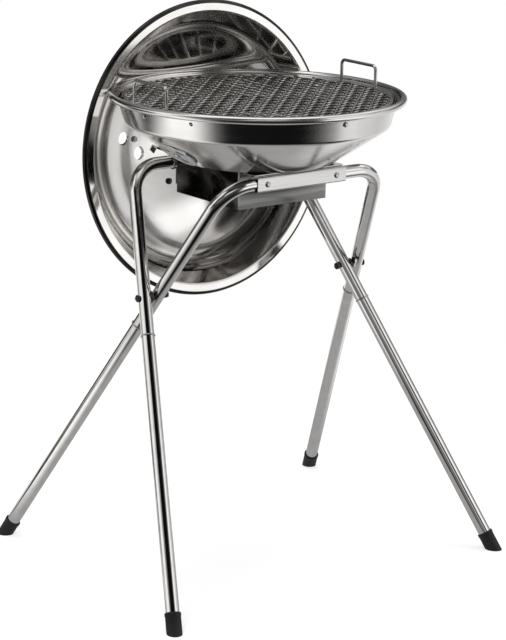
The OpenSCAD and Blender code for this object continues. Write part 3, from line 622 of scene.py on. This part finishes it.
# Rivets and screws: zinc-plated steel, a duller mirror with a cool cast and a
# spangle of 0.7 mm
zinc, tree, shader = new_finish("zinc plate on steel")
place = add(tree, "TexCoord").outputs["Object"]
spangle = add(tree, "TexVoronoi", {"Vector": place, "Scale": 1400.0})
shade = add(tree, "ValToRGB", {0: spangle.outputs["Distance"]})
set_stops(shade, [(0.0, "AEB0B2"), (0.8, "C6C8CA")])
tree.links.new(shade.outputs[0], shader.inputs["Base Color"])
shader.inputs["Metallic"].default_value = 1.0
shader.inputs["Roughness"].default_value = 0.28
for node in ("bowl_damper_rivet", "lid_damper_rivet", "sleeve_rivets", "bowl_nuts",
             "bracket_nuts"):
    dress(node, zinc)

# ---------------------------------------------------------------- grates
# Two wire grates: a fine woven one to cook on, held by a ring of rod, and a
# coarser one of plain bars for the charcoal. Both are bright plated steel wire.
GRATE_RING_R, GRATE_RING_ROD, GRATE_RING_Z = 160.9, 2.5, 565.5
MESH_PITCH, MESH_WIRE, MESH_EDGE = 13.0, 1.05, 2
MESH_WAVE, MESH_CROSSING = 0.35, 1.3    # shares of a wire's radius
POINTS_PER_CELL = 6


def bent(line, across, rings, steps):
    """Points and faces round a line in a plane, by rings of (point number, radius)."""
    points, loops, faces = [], [], []
    across = Vector(across).normalized()
    for i, radius in rings:
        here = Vector(line[i])
        before = here - Vector(line[i - 1]) if i else Vector(line[1]) - here
        after = Vector(line[i + 1]) - here if i + 1 < len(line) else before
        run = before.normalized() + after.normalized()
        side = across.cross(run.normalized()).normalized()
        if radius < 1e-6:
            loops.append([len(points)] * steps)
            points.append(here)
            continue
        loops.append([len(points) + k for k in range(steps)])
        stretch = 1 / max(0.5, run.length / 2)
        points += [here + radius * (across * cos(2 * pi * k / steps)
                                    + side * stretch * sin(2 * pi * k / steps))
                   for k in range(steps)]
    for low, high in zip(loops, loops[1:] + loops[:1]):
        for k in range(steps):
            n = (k + 1) % steps
            face = list(dict.fromkeys((low[k], high[k], high[n], low[n])))
            if len(face) > 2:
                faces.append(face)
    return points, faces


def rod(line, across, radius, steps):
    """A solid round rod along a line, with flat ends."""
    last = len(line) - 1
    rings = [(0, 0)] + [(i, radius) for i in range(last + 1)] + [(last, 0)]
    return bent(line, across, rings, steps)


def hoop(radius, z, wire, steps):
    """A ring of round rod, by its middle's radius and height and the rod's radius. The rod
    has 24 sides, 15 degrees each."""
    return turned([(radius + p.x, z + p.y) for p in arc((0, 0), wire, 0, 345, 23)], steps)


def joined(shapes):
    """Several shapes as one."""
    points, faces = [], []
    for more, sides in shapes:
        faces += [tuple(i + len(points) for i in face) for face in sides]
        points += more
    return points, faces


# Wire with bright nickel plate, dulled and browned a little by heat and fat, so
# that its shine and tone change every 30 mm or so
plated_wire, tree, shader = new_finish("nickel plate on steel wire")
place = add(tree, "TexCoord").outputs["Object"]
soil = add(tree, "TexNoise", {"Vector": place, "Scale": 35.0, "Detail": 6.0})
shade = add(tree, "ValToRGB", {0: soil.outputs[0]})
set_stops(shade, [(0.35, "B4B1AD"), (0.65, "DCDAD7")])
haze = add(tree, "MapRange", {"Value": soil.outputs[0], "To Min": 0.3, "To Max": 0.14})
tree.links.new(shade.outputs[0], shader.inputs["Base Color"])
tree.links.new(haze.outputs[0], shader.inputs["Roughness"])
shader.inputs["Metallic"].default_value = 1.0

shapes = [hoop(GRATE_RING_R, GRATE_RING_Z, GRATE_RING_ROD, 144)]
count = int((GRATE_RING_R - MESH_EDGE) / MESH_PITCH)
for i in range(-count, count + 1):
    half = sqrt(GRATE_RING_R ** 2 - (i * MESH_PITCH) ** 2)
    parts = int(half * 2 / MESH_PITCH * POINTS_PER_CELL)
    for lies_above in (0, 1):
        line = []
        for k in range(parts + 1):
            x = -half + 2 * half * k / parts
            wave = cos(pi * (x / MESH_PITCH + i + lies_above)) * MESH_WIRE * MESH_WAVE
            flat = (i * MESH_PITCH, x) if lies_above else (x, i * MESH_PITCH)
            line.append((*flat, GRATE_RING_Z + wave + lies_above * MESH_WIRE * MESH_CROSSING))
        shapes.append(rod(line, (1, 0, 0) if lies_above else (0, 1, 0), MESH_WIRE, 8))
mesh_grate = make("cooking_mesh", joined(shapes), plated_wire, 60)
mesh_grate.matrix_world = bowl_place
fit(mesh_grate, "cooking_grate", "grate_wire", "cooking_grate")

# Handles of heavier wire, bent square and welded upright on the ring
HANDLE_X, HANDLE_HALF, HANDLE_TOP, HANDLE_R, HANDLE_BEND = 157.55, 32.5, 596.4, 2.0, 6.0
for side, name in ((-1, "left"), (1, "right")):
    x = side * HANDLE_X
    flat = rounded([(-HANDLE_HALF, GRATE_RING_Z), (-HANDLE_HALF, HANDLE_TOP - HANDLE_R),
                    (HANDLE_HALF, HANDLE_TOP - HANDLE_R), (HANDLE_HALF, GRATE_RING_Z)],
                   [0, HANDLE_BEND, HANDLE_BEND, 0], 8)
    handle = make("mesh_handle_" + name,
                  rod([(x, p.x, p.y) for p in flat], (1, 0, 0), HANDLE_R, 16), plated_wire, 60)
    handle.matrix_world = bowl_place
    fit(handle, "cooking_grate", "handle_wire", "grate_handle_" + name)

# The charcoal's grate: a ring, straight bars in it and two ties below them
COAL_RING_R, COAL_ROD, COAL_RING_Z = 127.7, 2.0, 522.0
COAL_BAR_R, COAL_BAR_Z, COAL_PITCH, COAL_EDGE = 1.6, 522.5, 16.0, 4
COAL_TIE_X, COAL_TIE_Z = 80, 519.9
shapes = [hoop(COAL_RING_R, COAL_RING_Z, COAL_ROD, 128)]
count = int((COAL_RING_R - COAL_EDGE) / COAL_PITCH)
for i in range(-count, count + 1):
    y = i * COAL_PITCH
    half = sqrt(COAL_RING_R ** 2 - y ** 2)
    shapes.append(rod([(-half, y, COAL_BAR_Z), (half, y, COAL_BAR_Z)], (0, 1, 0), COAL_BAR_R, 12))
for x in (-COAL_TIE_X, COAL_TIE_X):
    half = sqrt(COAL_RING_R ** 2 - x ** 2)
    shapes.append(rod([(x, -half, COAL_TIE_Z), (x, half, COAL_TIE_Z)], (1, 0, 0), COAL_BAR_R, 12))
coal_grate = make("charcoal_bars", joined(shapes), plated_wire, 60)
coal_grate.matrix_world = bowl_place
fit(coal_grate, "charcoal_grate", "grate_wire", "charcoal_grate")

# ---------------------------------------------------------------- brackets
# Four small angles of bright sheet, screwed inside the bowl's wall, carry the
# cooking grate. Their screws, and the tray's, are of steel with zinc plate.
dress("grate_brackets", bright_sheet)
for node in ("bracket_screws", "bowl_screws"):
    dress(node, zinc)

# ---------------------------------------------------------------- tray
# A tray of stainless sheet, folded and screwed upside down under the bowl, with
# a flange over the front bar. It holds the bowl on the stand's two bars. Its ends
# are painted dark, a painted shade.
TRAY_SHEET, FOLD_R, TRAY_HALF = 1.5, 2.4, 67
TRAY = (-TRAY_HALF, TRAY_HALF, -54, 71.95, 444, 490.5)    # lowest and highest X, Y and Z
FLANGE_BACK, FLANGE_FRONT, FLANGE_Z = -50, -84, 489.0

# Stainless sheet, brushed lengthwise: pale and soft, the light drawn out across
# the grain. Grit lines 0.1 mm apart are drawn 0.6 mm so that they show.
brushed_sheet, tree, shader = new_finish("stainless sheet, brushed")
place = add(tree, "TexCoord").outputs["Object"]
along = add(tree, "Mapping", {"Vector": place, "Scale": (12, 1600, 1600)})
grit = add(tree, "TexNoise", {"Vector": along.outputs[0], "Scale": 1.0, "Detail": 2.0})
shade = add(tree, "ValToRGB", {0: grit.outputs[0]})
set_stops(shade, [(0.3, "BBBAB9"), (0.7, "CFCECD")])
haze = add(tree, "MapRange", {"Value": grit.outputs[0], "To Min": 0.14, "To Max": 0.26})
relief = add(tree, "Bump", {"Strength": 0.25, "Distance": 0.00003, "Height": grit.outputs[0]})
tree.links.new(shade.outputs[0], shader.inputs["Base Color"])
tree.links.new(haze.outputs[0], shader.inputs["Roughness"])
tree.links.new(relief.outputs[0], shader.inputs["Normal"])
shader.inputs["Metallic"].default_value = 1.0


def tray_shape():
    """A box without its bottom, folded edges rounded, walls as thick as the sheet."""
    x1, x2, y1, y2, z1, z2 = [v * MM for v in TRAY]
    work = bmesh.new()
    bmesh.ops.create_cube(work, size=1)
    for v in work.verts:
        v.co = Vector(((x1, x2)[v.co.x > 0], (y1, y2)[v.co.y > 0], (z1, z2)[v.co.z > 0]))
    open_face = min(work.faces, key=lambda f: f.calc_center_median().z)
    bmesh.ops.delete(work, geom=[open_face], context="FACES_ONLY")
    folds = [e for e in work.edges if len(e.link_faces) == 2]
    bmesh.ops.bevel(work, geom=folds, offset=FOLD_R * MM, segments=4, affect="EDGES", profile=0.5)
    mesh = bpy.data.meshes.new("tray")
    work.to_mesh(mesh)
    work.free()
    mesh.materials.append(brushed_sheet)
    mesh.materials.append(darkened_steel)
    for face in mesh.polygons:
        # The two end walls take the darkened steel: painted shade on the tray's ends
        is_end = abs(face.normal.x) > 0.9
        face.use_smooth, face.material_index = True, int(is_end)
    mesh.set_sharp_from_angle(angle=radians(35))
    made = bpy.data.objects.new("tray", mesh)
    scene.collection.objects.link(made)
    wall = made.modifiers.new("wall", "SOLIDIFY")
    wall.thickness, wall.offset, wall.use_even_offset = TRAY_SHEET * MM, -1, True
    return made


tray = tray_shape()
tray.matrix_world = bowl_place
fit(tray, "base", "sheet_steel", "base_box")
flange_path = [Vector((FLANGE_BACK, FLANGE_Z)), Vector((FLANGE_FRONT, FLANGE_Z))]
flange = make("tray_flange", folded(thick(flange_path, -TRAY_SHEET), -TRAY_HALF, TRAY_HALF, True),
              brushed_sheet)
round_over(flange, SHEET_EDGE)
flange.matrix_world = bowl_place
fit(flange, "base", "sheet_steel")

# Rolled eye round the rear bar, one sheet with its leaf down the tray's back
BAR_Y, BAR_Z, LEG_R = 81.5, 479.7, 8.0
EYE_R, EYE_FROM, EYE_TO, EYE_HALF = LEG_R + 0.05, 180, -130, 66.5
LEAF_LOW, LEAF_HIGH = -26.0, -1.0
eye_path = [Vector((-EYE_R - TRAY_SHEET, z)) for z in (LEAF_LOW, LEAF_HIGH)]
eye_path += arc((0, 0), EYE_R + TRAY_SHEET, EYE_FROM, EYE_TO, 48)
eye = make("rear_eye", folded(thick(eye_path, -TRAY_SHEET), -EYE_HALF, EYE_HALF, True),
           brushed_sheet)
eye.matrix_world = at(0, MID_Y + BAR_Y, BAR_Z)
fit(eye, "base", "sheet_steel", "rear_sleeve")

# ---------------------------------------------------------------- stand
# Two frames of bright stainless tube, 16 mm across, bent to a U and pinned where
# they cross. Each U's lower legs are separate tubes that plug in from below.
LEAN, SPLAY = radians(30.14), radians(13.34)
BAR_W, BEND_R, BEND_LEN, BEND_STEPS = 230.2, 45.0, 35.577, 20
FRAME_SHIFT, BORE_R, COLLAR_H = 9.52184, 7.0, 2.0
# How far down a leg its joint, its tube's end and its foot are, from where its own
# middle line meets the bar's
JOINT_T, LEG_END_T, FOOT_T, JOINT_SLACK = 213.613, 559.4, 570.076, 0.1
PLUG_R, PLUG_WALL, PLUG_RISE, PLUG_ROOT, PLUG_NOSE, LEG_EDGE = 6.95, 1.5, 35, 25, (1, 2), 0.2

# Polished stainless tube: a mirror, with faint haze of 11 mm from the buffing wheel
mirror_tube, tree, shader = new_finish("stainless tube, mirror polished")
place = add(tree, "TexCoord").outputs["Object"]
buff = add(tree, "TexNoise", {"Vector": place, "Scale": 90.0, "Detail": 5.0})
shade = add(tree, "ValToRGB", {0: buff.outputs[0]})
set_stops(shade, [(0.3, "DAD8D5"), (0.7, "E6E5E3")])
haze = add(tree, "MapRange", {"Value": buff.outputs[0], "To Min": 0.03, "To Max": 0.09})
tree.links.new(shade.outputs[0], shader.inputs["Base Color"])
tree.links.new(haze.outputs[0], shader.inputs["Roughness"])
shader.inputs["Metallic"].default_value = 1.0

half_line = [Vector((BAR_W / 2 - BEND_LEN, -BEND_R)) + BEND_R * Vector((sin(a), cos(a)))
             for a in [(pi / 2 - SPLAY) * k / BEND_STEPS for k in range(BEND_STEPS + 1)]]
half_line.append(Vector((BAR_W / 2, 0))
                 + Vector((sin(SPLAY), -cos(SPLAY))) * (JOINT_T - JOINT_SLACK))
u_line = [(-p.x, 0, p.y) for p in half_line[::-1]] + [(p.x, 0, p.y) for p in half_line]
ends = len(u_line) - 1
tube_rings = ([(i, LEG_R) for i in range(ends + 1)]
              + [(i, BORE_R) for i in range(ends, -1, -1)])
plug_top, leg_top = JOINT_T - PLUG_RISE, JOINT_T + COLLAR_H
lower = [(PLUG_R - PLUG_WALL, plug_top), (PLUG_R - PLUG_NOSE[0], plug_top),
         (PLUG_R, plug_top + PLUG_NOSE[1]), (PLUG_R, leg_top), (LEG_R - LEG_EDGE, leg_top),
         (LEG_R, leg_top + LEG_EDGE), (LEG_R, LEG_END_T), (BORE_R, LEG_END_T),
         (BORE_R, JOINT_T + PLUG_ROOT), (PLUG_R - PLUG_WALL, JOINT_T + PLUG_ROOT)]

# Black rubber caps, moulded, matt with a grain of 1.4 mm, slid over the tubes' ends
rubber, tree, shader = new_finish("black rubber, moulded")
place = add(tree, "TexCoord").outputs["Object"]
grain = add(tree, "TexNoise", {"Vector": place, "Scale": 700.0, "Detail": 4.0})
shade = add(tree, "ValToRGB", {0: grain.outputs[0]})
set_stops(shade, [(0.3, "0B0B0C"), (0.7, "191919")])
relief = add(tree, "Bump", {"Strength": 0.3, "Distance": 0.0001, "Height": grain.outputs[0]})
tree.links.new(shade.outputs[0], shader.inputs["Base Color"])
tree.links.new(relief.outputs[0], shader.inputs["Normal"])
shader.inputs["Roughness"].default_value = 0.55

CAP_R, CAP_LEN, CAP_BORE_R, CAP_FLOOR_T = 9.75, 24, LEG_R + 0.05, 559.5
CAP_EDGE, CAP_ROUND, CAP_BAND, CAP_BAND_END, CAP_BODY_R = 0.4, 0.5, 3.2, 4.0, 9.25
CAP_SPARE = 40    # past the foot, cut off level with the ground
cap_top = FOOT_T - CAP_LEN
cap_outline = [(CAP_BORE_R, cap_top + CAP_EDGE), (LEG_R + CAP_ROUND, cap_top),
               (CAP_R - CAP_EDGE, cap_top), (CAP_R, cap_top + CAP_ROUND),
               (CAP_R, cap_top + CAP_BAND),
               (CAP_BODY_R, cap_top + CAP_BAND_END), (CAP_BODY_R, FOOT_T + CAP_SPARE),
               (0, FOOT_T + CAP_SPARE), (0, CAP_FLOOR_T), (CAP_BORE_R, CAP_FLOOR_T)]


def rubber_cap(name, place):
    """A cup round a tube's end, cut level where it stands on the ground."""
    made = make(name, turned(cap_outline, 64), rubber)
    work = bmesh.new()
    work.from_mesh(made.data)
    ground_plane = place.inverted() @ Vector((0, 0, 0))
    up = (place.inverted().to_3x3() @ Vector((0, 0, 1))).normalized()
    cut = bmesh.ops.bisect_plane(work, geom=work.verts[:] + work.edges[:] + work.faces[:],
                                 plane_co=ground_plane, plane_no=up, clear_inner=True)
    edges = [e for e in cut["geom_cut"] if isinstance(e, bmesh.types.BMEdge)]
    bmesh.ops.contextual_create(work, geom=edges)
    work.to_mesh(made.data)
    work.free()
    made.data.set_sharp_from_angle(angle=radians(35))
    return made


for bar, turn, shift, body, feet in (("rear_bar", -1, -1, "rear_frame", "front"),
                                     ("front_bar", 1, 1, "front_frame", "rear")):
    on_bar = (at(shift * FRAME_SHIFT, MID_Y - turn * BAR_Y, BAR_Z)
              @ Matrix.Rotation(turn * LEAN, 4, "X"))
    bow = make(bar + "_tube", bent(u_line, (0, 1, 0), tube_rings, 48), mirror_tube)
    bow.matrix_world = on_bar
    fit(bow, body, "tube_steel", bar + "_frame")
    for side, hand in ((-1, "left"), (1, "right")):
        leg_place = on_bar @ at(side * BAR_W / 2) @ Matrix.Rotation(side * (pi - SPLAY), 4, "Y")
        own = "lower_leg_" + feet + "_" + hand
        leg = make("leg_tube_" + feet + "_" + hand, turned(lower, 64), mirror_tube)
        leg.matrix_world = leg_place
        fit(leg, own, "tube_steel", "leg_" + feet + "_" + hand)
        cap = rubber_cap("foot_" + feet + "_" + hand, leg_place)
        cap.matrix_world = leg_place
        fit(cap, own, "rubber_caps", "cap_" + feet + "_" + hand)
        dress("collar_" + feet + "_" + hand, zinc)

# Pins where the frames cross: button bolts, nuts and dished spacers of steel with
# black oxide, a thin satin coat with a bloom of 2.5 mm
black_oxide, tree, shader = new_finish("steel, black oxide")
place = add(tree, "TexCoord").outputs["Object"]
bloom = add(tree, "TexNoise", {"Vector": place, "Scale": 400.0, "Detail": 3.0})
shade = add(tree, "ValToRGB", {0: bloom.outputs[0]})
set_stops(shade, [(0.3, "111112"), (0.7, "222223")])
tree.links.new(shade.outputs[0], shader.inputs["Base Color"])
shader.inputs["Roughness"].default_value = 0.35
for node in ("pivot_bolts", "pivot_spacers", "pivot_nuts"):
    dress(node, black_oxide)

# Clip of thin sheet folded round the front bar, riveted to it
CLIP_SHEET, CLIP_EDGE, CLIP_HALF_H, CLIP_BEND, CLIP_HALF = 1.0, 4, 9, 2.0, 66.5
clip_path = rounded([(CLIP_EDGE, -CLIP_HALF_H), (-CLIP_HALF_H, -CLIP_HALF_H),
                     (-CLIP_HALF_H, CLIP_HALF_H), (CLIP_EDGE, CLIP_HALF_H)],
                    [0, CLIP_BEND, CLIP_BEND, 0], 5)
clip = make("bar_clip", folded(thick(clip_path, -CLIP_SHEET), -CLIP_HALF, CLIP_HALF, True),
            brushed_sheet)
clip.matrix_world = at(0, MID_Y - BAR_Y, BAR_Z)
fit(clip, "front_frame", "sheet_steel", "front_clip")
dress("clip_rivets", brushed_sheet)

# ---------------------------------------------------------------- lid
# A second spun disc: a deep dome, a short side that steps out, and a flat rim
# with a rolled edge. It hangs behind the bowl with its hollow to the front.
LID_Y, LID_Z, LID_LEAN = 97.597, 486.563, 3.1
DOME_R, SIDE_H, LID_DEPTH = 157.0, 20.0, 89.5
THROAT_R, LIP_R, LID_RING_R, LID_BEAD_R, LID_BEAD_Z = 168.5, 3.0, 180.0, 3.98, 3.5
ROLL_FROM, ROLL_TO = -100, 175
DOME_H = LID_DEPTH - SIDE_H

# The lid's spun steel is polished further than the bowl's: a clearer mirror. Its
# rings, 0.2 mm apart, are drawn 1.8 mm, its haze 12 mm and its clouds 60 mm.
lid_steel, tree, shader = new_finish("spun stainless steel, mirror")
(rings, fine), place = lathe_marks(tree, 12.0, 1.8)
cloud = add(tree, "TexNoise", {"Vector": place, "Scale": 16.0, "Detail": 4.0})
shade = add(tree, "ValToRGB", {0: cloud.outputs[0]})
set_stops(shade, [(0.3, "DEDCD9"), (0.7, "EAE8E6")])
haze = add(tree, "MapRange", {"Value": rings.outputs[0], "From Min": 0.3, "From Max": 0.7,
                              "To Min": 0.07, "To Max": 0.13})
relief = add(tree, "Bump", {"Strength": 0.1, "Distance": 0.00004, "Height": fine.outputs[0]})
tree.links.new(shade.outputs[0], shader.inputs["Base Color"])
tree.links.new(haze.outputs[0], shader.inputs["Roughness"])
tree.links.new(relief.outputs[0], shader.inputs["Normal"])
shader.inputs["Metallic"].default_value = 1.0

lid_path = [Vector((DOME_R * sin(a), SIDE_H + DOME_H * cos(a)))
            for a in [pi / 2 * k / 64 for k in range(65)]]
lid_path += arc((THROAT_R + LIP_R, LIP_R), LIP_R, 180, 270, 8)
lid_path += arc((LID_RING_R, LID_BEAD_Z), LID_BEAD_R, ROLL_FROM, ROLL_TO, 30)
lid_outline = thick(lid_path, SHEET)
lid = make("lid", turned(lid_outline, 256), lid_steel)


def dome_depth(r):
    """How far the dome's inside stands behind the rim, at a radius."""
    return SIDE_H + DOME_H * sqrt(1 - (r / DOME_R) ** 2)


LID_DAMPER_X, LID_DAMPER_UP, LID_AIR_TURN = 52.0, 7.7, 60
LID_PLATE_R, LID_TAB_ANGLE, LID_PLATE_TURN = 33, 0, 4
lid_damper_r = hypot(LID_DAMPER_X, LID_DAMPER_UP)
damper_slope = atan(DOME_H / DOME_R * (lid_damper_r / DOME_R)
                    / sqrt(1 - (lid_damper_r / DOME_R) ** 2))
on_dome = (Matrix.Rotation(atan2(-LID_DAMPER_UP, -LID_DAMPER_X), 4, "Z")
           @ at(lid_damper_r, 0, dome_depth(lid_damper_r))
           @ Matrix.Rotation(damper_slope, 4, "Y") @ at(0, 0, SHEET)
           @ spin(LID_AIR_TURN, "Z"))
FIX_Y, HANDLE_HOLE_R = 51, 2.05
drilled(lid, air_holes(on_dome, LID_PLATE_R)
        + [(at(0, s * FIX_Y, dome_depth(FIX_Y)), HANDLE_HOLE_R) for s in (-1, 1)])
true_round(lid, lid_outline, 25)
# The rolled edge takes the darkened steel, nearly black: a painted shade
ROLL_START_R = 177.5
lid.data.materials.append(darkened_steel)
for face in lid.data.polygons:
    face.material_index = int(hypot(face.center.x, face.center.y) > ROLL_START_R * MM)
on_lid = at(0, LID_Y + MID_Y, LID_Z) @ spin(-90 - LID_LEAN, "X")
lid.matrix_world = on_lid
fit(lid, "lid", "lid_steel", "lid_shell")

disc, ear = damper("lid_damper_disc", LID_PLATE_R, LID_TAB_ANGLE, LID_PLATE_TURN)
for part in (disc, ear):
    part.matrix_world = on_lid @ on_dome @ part.matrix_world
fit(disc, "lid_damper", "damper_steel", "lid_damper")
fit(ear, "lid_damper", "damper_steel")

# Handle of bent round bar across the top of the dome, screwed from inside
GRIP_R, GRIP_Z, GRIP_BEND = 5.0, 121.7, 14.0
foot = dome_depth(FIX_Y - GRIP_R) + SHEET
flat = rounded([(-FIX_Y, foot), (-FIX_Y, GRIP_Z), (FIX_Y, GRIP_Z), (FIX_Y, foot)],
               [0, GRIP_BEND, GRIP_BEND, 0], 12)
grip = make("lid_grip", rod([(0, p.x, p.y) for p in flat], (1, 0, 0), GRIP_R, 32), mirror_tube)
grip.matrix_world = on_lid
fit(grip, "lid", "handle_wire", "lid_handle")
dress("handle_screws", black_oxide)
